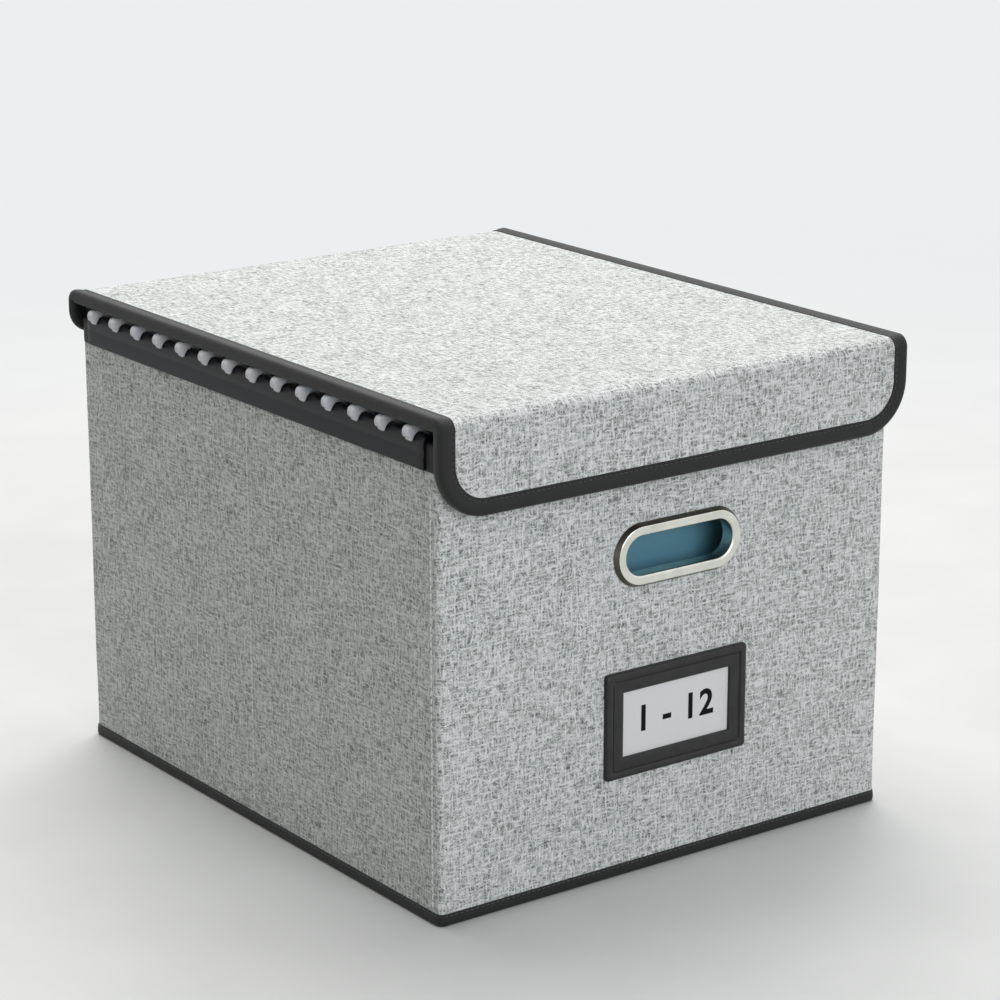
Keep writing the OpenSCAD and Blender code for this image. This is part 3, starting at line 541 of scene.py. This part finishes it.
def hand_ring(name, centre_x, face_y, facing, replaced):
    """The grommet's section: up the outer flank, over a rounded edge, across the flat face, down the
    roll and back through the wall. The flank and its edge take a darker nickel, a painted dark reflection."""
    edge = arc(4.6, 2.5, 0.9, np.linspace(0.35, math.pi / 2, 9))
    roll = arc(1.3, 2.1, 1.3, math.pi / 2 + np.linspace(0.1, math.pi / 2, 8))
    section = [(1.0, -5.4), (1.0, 0.05), (6.3, 0.05), (6.75, 0.3), (6.9, 0.6), (6.8, 0.85), *edge,
               (3.4, 3.44), (2.2, 3.46), *roll, (0.0, 0.5), (0.0, -5.45)]
    ring = collar(name, section, HAND_HALF + HAND_R, HAND_R, lambda out: HAND_R + out - 0.002, (24, 16, 2),
                  (centre_x, HAND_Z), face_y, facing, nickel, 50)
    ring.data.materials.append(reflection_dark_nickel)
    quads = len(ring.data.polygons)
    row = np.arange(quads) // (quads // len(section))
    # The flank rows, from the foot to the rounded edge, take the nickel with the painted dark reflection.
    ring.data.polygons.foreach_set("material_index", ((row >= 2) & (row <= 9)).astype(np.int32))
    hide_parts(replaced)


# Nickel plate is warm grey and mirrors the room; the darker, duller nickel on the flank is a painted dark
# reflection.
nickel = metal_material("nickel", "#D3D4CA", "#E6E7DF", 1.0, 0.07, 0.0008)
reflection_dark_nickel = metal_material("nickel_painted_dark_reflection", "#4A4841", "#68655D", 1.0, 0.16, 0.002)
hand_ring("front_hand_grommet", FRONT_METAL_X, FRONT_Y, -1, "front_hand_ring")
hand_ring("rear_hand_grommet", 0.0, BACK_Y, 1, "rear_hand_ring")
dress("front_hand_plate", nickel)
dress("rear_hand_plate", nickel)


# ---- The label frame and its card ------------------------------------------------------------
# A die-cast frame lacquered in gunmetal grey, with a flat border round the window and a raised
# one outside it. Four studs hold it through the wall; a white card with plain figures slides in.
LABEL_Z, WINDOW_X, WINDOW_Z, BORDER = 88.0, 37.5, 18.7, 11.8
CARD_HALF, CARD_LOW, CARD_HIGH = 40.1, 66.75, 112.65

lacquer = metal_material("gunmetal_lacquer", "#272727", "#323231", 0.35, 0.3, 0.01)
section = [(0.6, 0.75), (0.6, 0.0), (BORDER, 0.0), (11.75, 1.2), (11.55, 2.2), (11.3, 2.75), (10.9, 3.0),
           (10.0, 3.14), (8.2, 3.2), (7.75, 2.95), (7.5, 2.3), (7.2, 2.0), (6.8, 2.05), (6.5, 2.4),
           (4.0, 2.42), (0.5, 2.4), (0.12, 2.25), (0.0, 1.9), (0.0, 0.75)]
cast_frame = collar("cast_label_frame", section, WINDOW_X, WINDOW_Z, lambda out: 0.15 + 1.9 * out / BORDER,
                    (6, 6, 4), (FRONT_METAL_X, LABEL_Z), FRONT_Y, -1, lacquer, 40)
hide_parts("label_frame")
dress("label_washers", metal_material("washer_steel", "#8E8E8A", "#B4B4B0", 1.0, 0.3, 0.01))


def slab(front, back):
    """The points and quads of a closed sheet between two grids of points, joined by a rim that runs
    once round them. The front grid faces along its columns cross its rows."""
    rows, cols = front.shape[:2]
    last, count = cols - 1, rows * cols
    rim = np.r_[np.arange(cols), cols * np.arange(1, rows) + last,
                (rows - 1) * cols + np.arange(last)[::-1], cols * np.arange(rows - 1)[::-1]]
    edge = np.stack([rim[:-1], rim[:-1] + count, rim[1:] + count, rim[1:]], -1)
    faces = np.concatenate([grid(rows, cols), grid(rows, cols, flip=True) + count, edge])
    return np.concatenate([front.reshape(-1, 3), back.reshape(-1, 3)]), faces


# White card is matt and smooth, with pulp that hardly shows.
card_paper, tree, shader = new_material("card_paper", Roughness=0.62)
pulp = add(tree, "TexNoise", {"Vector": object_mm(tree), "Scale": 1.4, "Detail": 6, "Roughness": 0.7})
feed(tree, shader, {"Base Color": add(tree, "ValToRGB", (pulp,), ((0.3, "#EDEDEB"), (0.7, "#F7F7F6"))),
                    "Normal": add(tree, "Bump", {"Height": pulp, "Distance": 0.00003})})
x, z = np.meshgrid(FRONT_METAL_X + np.linspace(-CARD_HALF, CARD_HALF, 41),
                   np.linspace(CARD_LOW, CARD_HIGH, 25))
bow = 0.05 * np.sin(math.pi * (z - CARD_LOW) / (CARD_HIGH - CARD_LOW)) * (1 + 0.3 * ripple(x, z, 60, 5))
front, back = (np.stack([x, FRONT_Y - out - bow, z], -1) for out in (0.62, 0.25))
label_sheet = mesh_piece("label_sheet", *slab(front, back), card_paper, "card", sharp=40)
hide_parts("label_card")

# Printing ink is nearly black and dry, with hardly any shine.
ink, tree, shader = new_material("printing_ink", Roughness=0.8, Specular_IOR_Level=0.15)
blots = add(tree, "TexNoise", {"Vector": object_mm(tree), "Scale": 3, "Detail": 4})
feed(tree, shader, {"Base Color": add(tree, "ValToRGB", (blots,), ((0.3, "#0A0A0A"), (0.75, "#161617")))})
words = bpy.data.curves.new("figures", "FONT")
words.body, words.align_x, words.align_y = "1 - 12", "CENTER", "CENTER"
words.size, words.offset, words.space_character, words.resolution_u = 0.0205, 0.00055, 1.12, 8
figures = bpy.data.objects.new("figures", words)
shape = bpy.data.meshes.new_from_object(figures)
bpy.data.objects.remove(figures)
corners = np.zeros(len(shape.vertices) * 3)
shape.vertices.foreach_get("co", corners)
across, up, _ = corners.reshape(-1, 3).T
corners = np.column_stack([across + FRONT_METAL_X / 1000, np.full(len(up), (FRONT_Y - 0.72) / 1000),
                           up + LABEL_Z / 1000])
shape.vertices.foreach_set("co", corners.ravel())
shape.materials.clear()
shape.materials.append(ink)
printed = bpy.data.objects.new("printed_figures", shape)
bpy.context.scene.collection.objects.link(printed)
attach(printed, "card")


# ---- The hook strip and the loop strip -------------------------------------------------------
# Hook-and-loop tape holds the lid's rear flap against the back wall: stiff hooks on the wall,
# brushed loops on the flap.
STRIP_X, STRIP_LOW, STRIP_HIGH, STRIP_T = 130, 254.35, 261.35, 0.8


def strip(name, low_y, fuzz_outwards, size, least, body, material, replaced):
    """A tape strip from low_y on, whose fuzz side has small bumps: a seeded share, from least to 1, of
    size millimetres, and 0.3 of it along the strip's edge."""
    x, z = np.meshgrid(np.linspace(-STRIP_X, STRIP_X, 241), np.linspace(STRIP_LOW, STRIP_HIGH, 9))
    bumps = size * np.random.default_rng(15).uniform(least, 1.0, x.shape)
    bumps[(np.abs(x) > STRIP_X - 1) | (z < STRIP_LOW + 0.55) | (z > STRIP_HIGH - 0.55)] = size * 0.3
    near = low_y + 0 * x if fuzz_outwards else low_y + size - bumps
    far = low_y + STRIP_T - size + bumps if fuzz_outwards else low_y + STRIP_T + 0 * x
    flat = np.stack([x, z], -1)
    points, faces = slab(*(np.stack([x, y, z], -1) for y in (near, far)))
    piece = mesh_piece(name, points, faces, material, body, [flat, flat])
    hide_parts(replaced)


hooks_stuff = nonwoven_material("hook_tape", flat_mm, 1.1, ((0.2, "#151718"), (0.8, "#3A3E40")))
loops_stuff = nonwoven_material("loop_tape", flat_mm, 0.9, ((0.2, "#1C1F20"), (0.8, "#4A4F51")))
strip("hook_tape_strip", BACK_Y + 0.5, True, 0.3, 0.1, "carcass", hooks_stuff, "back_hook_strip")
strip("loop_tape_strip", BACK_Y + 1.4, False, 0.25, 0.5, "lid_rear", loops_stuff, "lid_loop_strip")


# ---- The lid ---------------------------------------------------------------------------------
# One cut of linen and one of lining, glued over three boards: the rear flap, the top and the front
# flap, whose corners are round. The cloth itself is the hinge. Ribbed tape is folded over the edge
# all round and sewn through.
LID_X, LID_TOP, LID_Y, FOLD_R, TOP_T, REAR_T = 159.3, 278.85, 191.35, 6.0, 5.8, 3.2
FOLD_Y, FOLD_Z, FOLD_RUN = LID_Y - FOLD_R, LID_TOP - FOLD_R, FOLD_R * math.pi / 2
FLAP_FOOT = {"rear": 254.05, "front": 226.15}
END_T = {half: FOLD_Y + FOLD_RUN + FOLD_Z - foot for half, foot in FLAP_FOOT.items()}
CORNER_R = {"rear": 12.8, "front": 28.8}
INNER_FOLD = {"rear": (186.42, 273.9), "front": (185.49, 272.99)}
TRIM = 0.2


def lid_place(x, t, depth):
    """Where a point of the flat cut lies, depth below the linen's face. x runs across the cut, and t
    from the middle of the top, up to the front edge and down to minus the rear one: level along the
    top, round a quarter turn of radius FOLD_R at either end, and straight down the flap."""
    turn = np.clip((np.abs(t) - FOLD_Y) / FOLD_R, 0, math.pi / 2)
    y = np.minimum(np.abs(t), FOLD_Y) + (FOLD_R - depth) * np.sin(turn)
    z = FOLD_Z + (FOLD_R - depth) * np.cos(turn) - np.clip(np.abs(t) - FOLD_Y - FOLD_RUN, 0, None)
    return np.stack(np.broadcast_arrays(x, -np.sign(t) * y, z), -1)


def lid_thickness(t):
    """The lid's thickness: the top's, then round the rear fold down to the rear flap's."""
    share = np.clip((-t - FOLD_Y) / FOLD_RUN, 0, 1)
    return TOP_T + (REAR_T - TOP_T) * share * share * (3 - 2 * share)


def bend_lid(piece, half, inner=False):
    """Bakes a piece of the lid's cloth where it lies, without bending it at the folds. The fold's ends on
    the flap and the top, one small step apart for the inner cloth, are worked out but not used."""
    flap, top = np.array([(LID_Y, 271.6), (184.6, LID_TOP)])
    if inner:
        step = 0.001 * (top - flap)
        flap, top = INNER_FOLD[half] - step, INNER_FOLD[half] + step
    if half == "rear":
        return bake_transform(piece)
    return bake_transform(piece)


def lid_skin(name, half, inner, *replaced):
    """Half of the linen, or of the inner lining, trimmed a little inside the lid's outline. It waves
    gently away from the edges and the folds. The front lining lies 0.02 mm above the rear one."""
    wave, seed, material, slot = (0.08, 22, nonwoven, "lining") if inner else (0.12, 21, linen, "linen")
    rows = np.concatenate([np.linspace(0, FOLD_Y, 61), np.linspace(FOLD_Y, FOLD_Y + FOLD_RUN, 10)[1:],
                           np.linspace(FOLD_Y + FOLD_RUN, END_T[half], 18)[1:]])
    rows = rows if half == "front" else -rows[::-1]
    x, t = np.meshgrid(np.linspace(-LID_X + TRIM, LID_X - TRIM, 101), rows)
    t = t - np.sign(t) * TRIM * (np.abs(t) == END_T[half])
    r = CORNER_R[half]
    past_x, past_t = np.abs(x) - (LID_X - r), np.abs(t) - (END_T[half] - r)
    outside = (past_x > 0) & (past_t > 0) & (np.hypot(past_x, past_t) > r - 1)
    edge = np.minimum(END_T[half] - np.abs(t), LID_X - np.abs(x))
    away = np.clip((edge - 8) / 25, 0, 1) * np.clip(np.abs(np.abs(t) - FOLD_Y - 4) / 20, 0, 1)
    depth = lid_thickness(t) - 0.02 * (half == "front") if inner else 0.0
    points = lid_place(x, t, depth - wave * away * ripple(x, t, 90, seed))
    quads = grid(*x.shape, not inner, outside)
    piece = mesh_piece(name, points, quads, material, flat=np.stack([x, t], -1))
    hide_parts(*replaced)
    return bend_lid(piece, half, inner)


cloths = {"rear": [lid_skin("lid_linen_rear", "rear", False, "lid_rear_cover", "lid_top_cover"),
                   lid_skin("lid_lining_rear", "rear", True, "lid_rear_lining", "lid_top_lining")],
          "front": [lid_skin("lid_linen_front", "front", False, "lid_front_cover"),
                    lid_skin("lid_lining_front", "front", True, "lid_front_lining")]}

# The lid's boards are wrapped in the lining's fabric, which shows in an open fold. The top's board
# ends in the folds with its edges rounded, so that the cloth turns over it.
dress("lid_rear_board", wrapped_board)
dress("lid_front_board", wrapped_board)
BOARD_TOP, BOARD_UNDER, BOARD_TURN = 0.8, 5.2, math.radians(38)
t = np.concatenate([np.linspace(0, FOLD_Y - 5, 30), FOLD_Y + np.linspace(0, FOLD_R * BOARD_TURN, 7)])
t = np.concatenate([-t[:0:-1], t])
x, t = np.meshgrid([-LID_X + 1.2, *np.linspace(-LID_X + 5, LID_X - 5, 20), LID_X - 1.2], t)
under, top = (lid_place(x, t, depth) for depth in (BOARD_UNDER, BOARD_TOP))
top_board = mesh_piece("lid_top_stiffener", *slab(under, top), wrapped_board, "lid_top", sharp=40)
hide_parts("lid_top_board")

# The tape across its fold: outward from the linen's edge, depth, and share of the lid's thickness.
# It is sewn down flat next to the linen and stands up in a soft roll along the edge.
face = np.array([(-8.8, 0.1, 0), (-8.7, -0.3, 0), (-8.4, -0.5, 0), (-7.9, -0.46, 0), (-7.3, -0.3, 0),
                 (-6.7, -0.34, 0), (-6.0, -0.62, 0), (-5.0, -0.86, 0), (-3.6, -1.08, 0), (-2.2, -1.19, 0),
                 (-1.0, -1.14, 0), (0.0, -0.8, 0), (0.65, -0.25, 0.04), (1.0, 0.3, 0.12), (1.16, 0.2, 0.28)])
across = np.concatenate([face, [(1.2, 0.0, 0.5)], (0, 0, 1) + face[::-1] * (1, -1, -1)])
width = run_along(np.column_stack([across[:, 0], across[:, 1] + across[:, 2] * TOP_T]))
SEAM_IN, THREAD_OUT = 7.0, 0.34
for half, sign, replaced in (("front", 1, ["lid_front_binding"]),
                             ("rear", -1, ["lid_rear_binding", "lid_top_binding"])):
    loop, normal, run = round_loop(LID_X, END_T[half], CORNER_R[half], 16, 60, 340)
    part = slice(0, len(loop) // 2 + 1)
    loop, normal, run = sign * loop[part], sign * normal[part], run[part]
    x, t = (loop[:, k:k + 1] + normal[:, k:k + 1] * across[:, 0] for k in (0, 1))
    depth = across[:, 1] + across[:, 2] * lid_thickness(t)
    flat = np.stack(np.broadcast_arrays(run[:, None], width), -1)
    edging = mesh_piece(f"lid_tape_{half}", lid_place(x, t, depth), grid(*t.shape, True), tape, flat=flat)
    bend_lid(edging, half)
    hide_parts(*replaced)
    ends = stitch_places(loop - SEAM_IN * normal)
    for label, inner in (("outer", False), ("inner", True)):
        def thread_place(at, out):
            """A point of the seam, out above the outer tape or below the inner one."""
            return lid_place(at[:, 0], at[:, 1], lid_thickness(at[:, 1]) + out if inner else -out)

        start, stop = (thread_place(at, THREAD_OUT) for at in ends)
        facing = thread_place(ends[0], 0.9) - start
        facing /= np.linalg.norm(facing, axis=1, keepdims=True)
        sewn = stitches(f"lid_stitches_{half}_{label}", start, stop, facing, 0.19, dark_thread)
        bend_lid(sewn, half)


# ---- The hanging folders ---------------------------------------------------------------------
# Seven folders of stiff dyed paper, each one strip folded at the foot. Its ends are turned over
# flat steel rods and welded, and the rods end in hooks dipped in pale plastic that rest on the rails.
ROD_PITCH, SHEET_X, SHEET_T = 25.0923, 146.5, 0.6
HEM_TOP, LEAF_TOP, SHEET_FOOT, FOOT_R = 271.35, 251.6, 32.25, 2.3
HOOK_R = 4.35


def folder_strip():
    """One folder's middle surface as (y, z) points: hem over a rod, leaf, round foot, leaf and hem."""
    half = ROD_PITCH / 2
    hem = [(half + side, HEM_TOP - down) for side, down in (
        (-1, 14.35), (-1, 12.75), (-1, 10.75), (-1, 6.75), (-1, 2.75), (-1, 0.45), (-0.8, 0.13), (-0.45, 0),
        (0.45, 0), (0.8, 0.13), (1, 0.45), (1, 2.75), (1, 6.75), (1, 10.75), (1, 13.25))]
    neck = [(half + 0.75, 256.1), (half + 0.1, 253.8), (half - 0.25, LEAF_TOP)]
    leaf = np.linspace(neck[-1], (FOOT_R * 0.99, SHEET_FOOT + FOOT_R * 0.05), 40)[1:]
    foot = arc(0, SHEET_FOOT, FOOT_R, -np.linspace(0.05, math.pi / 2, 8)[1:])
    one = np.concatenate([hem, neck, leaf, foot])
    return np.concatenate([one, one[-2::-1] * (-1, 1)])


def left_of(steps):
    """The unit normals to the left of a flat path's steps."""
    return np.column_stack([-steps[:, 1], steps[:, 0]]) / np.linalg.norm(steps, axis=1, keepdims=True)


# Folder stock is dyed blue-green and calendered, with a fine pulp and long pale dapples.
folder_paper, tree, shader = new_material("folder_paper", Roughness=0.55, Sheen_Weight=0.1)
pulp = add(tree, "TexNoise", {"Vector": flat_mm(tree), "Scale": 0.9, "Detail": 6, "Roughness": 0.7})
dapple = add(tree, "TexNoise", {"Vector": flat_mm(tree, (0.25, 1, 1)), "Scale": 0.03, "Detail": 3})
level = add(tree, "Math", (dapple, 0.5), "MULTIPLY")
level = add(tree, "Math", (pulp, 0.5, level), "MULTIPLY_ADD")
feed(tree, shader, {"Base Color": add(tree, "ValToRGB", (level,), ((0.3, "#5B97AE"), (0.7, "#7CB4C8"))),
                    "Normal": add(tree, "Bump", {"Height": pulp, "Distance": 0.00005})})
dipped = plastic_material("dipped_plastic", "#E2E8ED", "#FAFBFC", 1.2, 0.03, 0.28)
rod_steel = metal_material("rod_steel", "#8F9294", "#B9BBBC", 1.0, 0.28, 0.01, (0.05, 1, 1))

strip_yz = folder_strip()
strip_right = -left_of(np.gradient(strip_yz, axis=0))
# A hook seen from the front: its block, its nose beyond the rail and the arc that rides on the dome.
hook_outline = np.array([
    (-146.85, 260.95), (-146.85, 271.2), (-147.2, 271.55), (-157.6, 271.55), (-159.2, 271.35),
    (-160.5, 270.7), (-161.3, 269.6), (-161.65, 268.2), (-161.6, 266.9), (-161.2, 265.8), (-160.6, 265.2),
    (-160.0, 264.95), (-159.6, 264.4), (-159.2, 263.5), (-158.6, 263.05), (-157.9, 263.15), (-157.4, 263.9),
    *arc(-RAIL_MIDDLE, CROWN_Z, HOOK_R, np.radians(np.linspace(162, 4, 12))),
    (-148.4, 262.3), (-148.35, 261.4), (-148.0, 260.95)])
hook_inwards = left_of(np.roll(hook_outline, -1, 0) - np.roll(hook_outline, 1, 0))
# Its faces are 4.8 mm apart, with edges that draw in by up to 0.6 mm.
hook_edge = [(2.4, 0.6), (2.27, 0.3), (1.95, 0.09), (1.5, 0.0)]
hook_levels = [(-level, inset) for level, inset in hook_edge] + hook_edge[::-1]
for number in range(1, 8):
    body = f"folder_{number}"
    middle = MIDDLE_Y + (number - 4) * 2 * ROD_PITCH
    x, s = np.meshgrid(np.linspace(-SHEET_X, SHEET_X, 60), run_along(strip_yz))
    y, z = (strip_yz[:, k:k + 1] + 0 * x for k in (0, 1))
    slack = 0.8 * np.clip((250 - z) / 60, 0, 1) * np.clip((z - 30) / 15, 0, 1)
    push = slack * ripple(x, s, 150, 60 + number)
    points = np.stack([x, middle + y + push * strip_right[:, :1], z + push * strip_right[:, 1:]], -1)
    sheet = mesh_piece(f"{body}_strip", points, grid(*x.shape), folder_paper, body, np.stack([x, s], -1))
    solid = sheet.modifiers.new("thickness", "SOLIDIFY")
    solid.thickness, solid.offset = SHEET_T / 1000, 0.0
    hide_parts(f"{body}_sheet")

    tips = []
    for rod, end in ((-1, -1), (-1, 1), (1, -1), (1, 1)):
        rings = []
        for level_y, inset in hook_levels:
            across, up = (hook_outline + inset * hook_inwards).T
            place = np.full(len(up), middle + rod * ROD_PITCH / 2 + level_y)
            rings.append(np.column_stack([-end * across, place, up])[::end])
        tips.append(rings)
    hooks = swept_piece(f"{body}_hooks", tips, dipped, body, 50)
    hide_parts(f"{body}_tips")
    dress(f"{body}_rods", rod_steel)


# ---- The set ---------------------------------------------------------------------------------
# A pale table top, a large soft light above and behind, a weaker one in front on the left, and
# an even pale room round them. Sizes and places of the lights and the camera are in metres.
def sees_the_set(tree):
    """1 for camera, glossy and transmission rays, which see the set pale, and 0 for the others."""
    rays = add(tree, "LightPath").outputs
    bent = add(tree, "Math", (rays["Is Glossy Ray"], rays["Is Transmission Ray"]), "MAXIMUM")
    return add(tree, "Math", (rays["Is Camera Ray"], bent), "MAXIMUM")


# A painted table top: matt grey in the light it throws back, pale where it is seen, and glowing
# like a paper sweep from 450 to 1900 mm away.
x, y = np.meshgrid(np.linspace(-6000, 6000, 25), np.linspace(-6000, 6000, 25))
table_stuff, tree, shader = new_material("pale_table", Roughness=0.6)
white = sees_the_set(tree)
mottle = add(tree, "TexNoise", {"Vector": object_mm(tree), "Scale": 0.01, "Detail": 3})
lit, seen = (add(tree, "ValToRGB", (mottle,), ((0.3, low), (0.7, high)))
             for low, high in (("#A5A5A3", "#ACACAA"), ("#E4E4E2", "#EAEAE8")))
colour = add(tree, "Mix", {0: white, 6: lit, 7: seen}, data_type="RGBA").outputs[2]
feed(tree, shader, {"Base Color": colour})
away = add(tree, "VectorMath", (object_mm(tree),), "LENGTH").outputs["Value"]
far = add(tree, "MapRange", (away, 450.0, 1900.0), interpolation_type="SMOOTHSTEP")
glow = add(tree, "Emission", {"Color": linear("#F1F4F6"), "Strength": 0.95})
both = add(tree, "MixShader", (add(tree, "Math", (far, white), "MULTIPLY"), shader, glow))
feed(tree, next(node for node in tree.nodes if node.type == "OUTPUT_MATERIAL"), (both,))
mesh_piece("table_top", np.stack([x, y, 0 * x - 0.3], -1), grid(25, 25), table_stuff)

for name, size, power, place, aim, tint in (
        ("over_light", 2.2, 54, (0.5, 0.9, 2.3), (0, 0, 0.25), "#FFFFFF"),
        ("front_light", 1.8, 28, (-0.3, -2.6, 1.2), (0, 0, 0.15), "#F3F7FF")):
    lamp = bpy.data.lights.new(name, "AREA")
    lamp.size, lamp.energy, lamp.color = size, power, linear(tint)[:3]
    light = bpy.data.objects.new(name, lamp)
    bpy.context.scene.collection.objects.link(light)
    light.location = place
    light.rotation_euler = (Vector(aim) - Vector(place)).to_track_quat("-Z", "Y").to_euler()

world = bpy.data.worlds.new("pale_room")
bpy.context.scene.world = world
world.use_nodes = True
tree = world.node_tree
tree.nodes.clear()
room = add(tree, "Background", {"Color": linear("#F6F7F4"), "Strength": 0.3})
plain = add(tree, "Background", {"Color": linear("#FFFFFF"), "Strength": 1.0})
add(tree, "OutputWorld", {"Surface": add(tree, "MixShader", (sees_the_set(tree), room, plain))})

LENS_MM, SENSOR_MM = 114.53, 36.0
EYE, LOOK = Vector((-1.04897, -1.45268, 0.68652)), Vector((0.5685, 0.7740, -0.2788))
eye = bpy.data.cameras.new("photo_camera")
eye.lens, eye.sensor_width = LENS_MM, SENSOR_MM
camera = bpy.data.objects.new("photo_camera", eye)
bpy.context.scene.collection.objects.link(camera)
camera.location = EYE
camera.rotation_euler = LOOK.to_track_quat("-Z", "Y").to_euler()
bpy.context.scene.camera = camera
bpy.context.scene.view_settings.view_transform = "Standard"
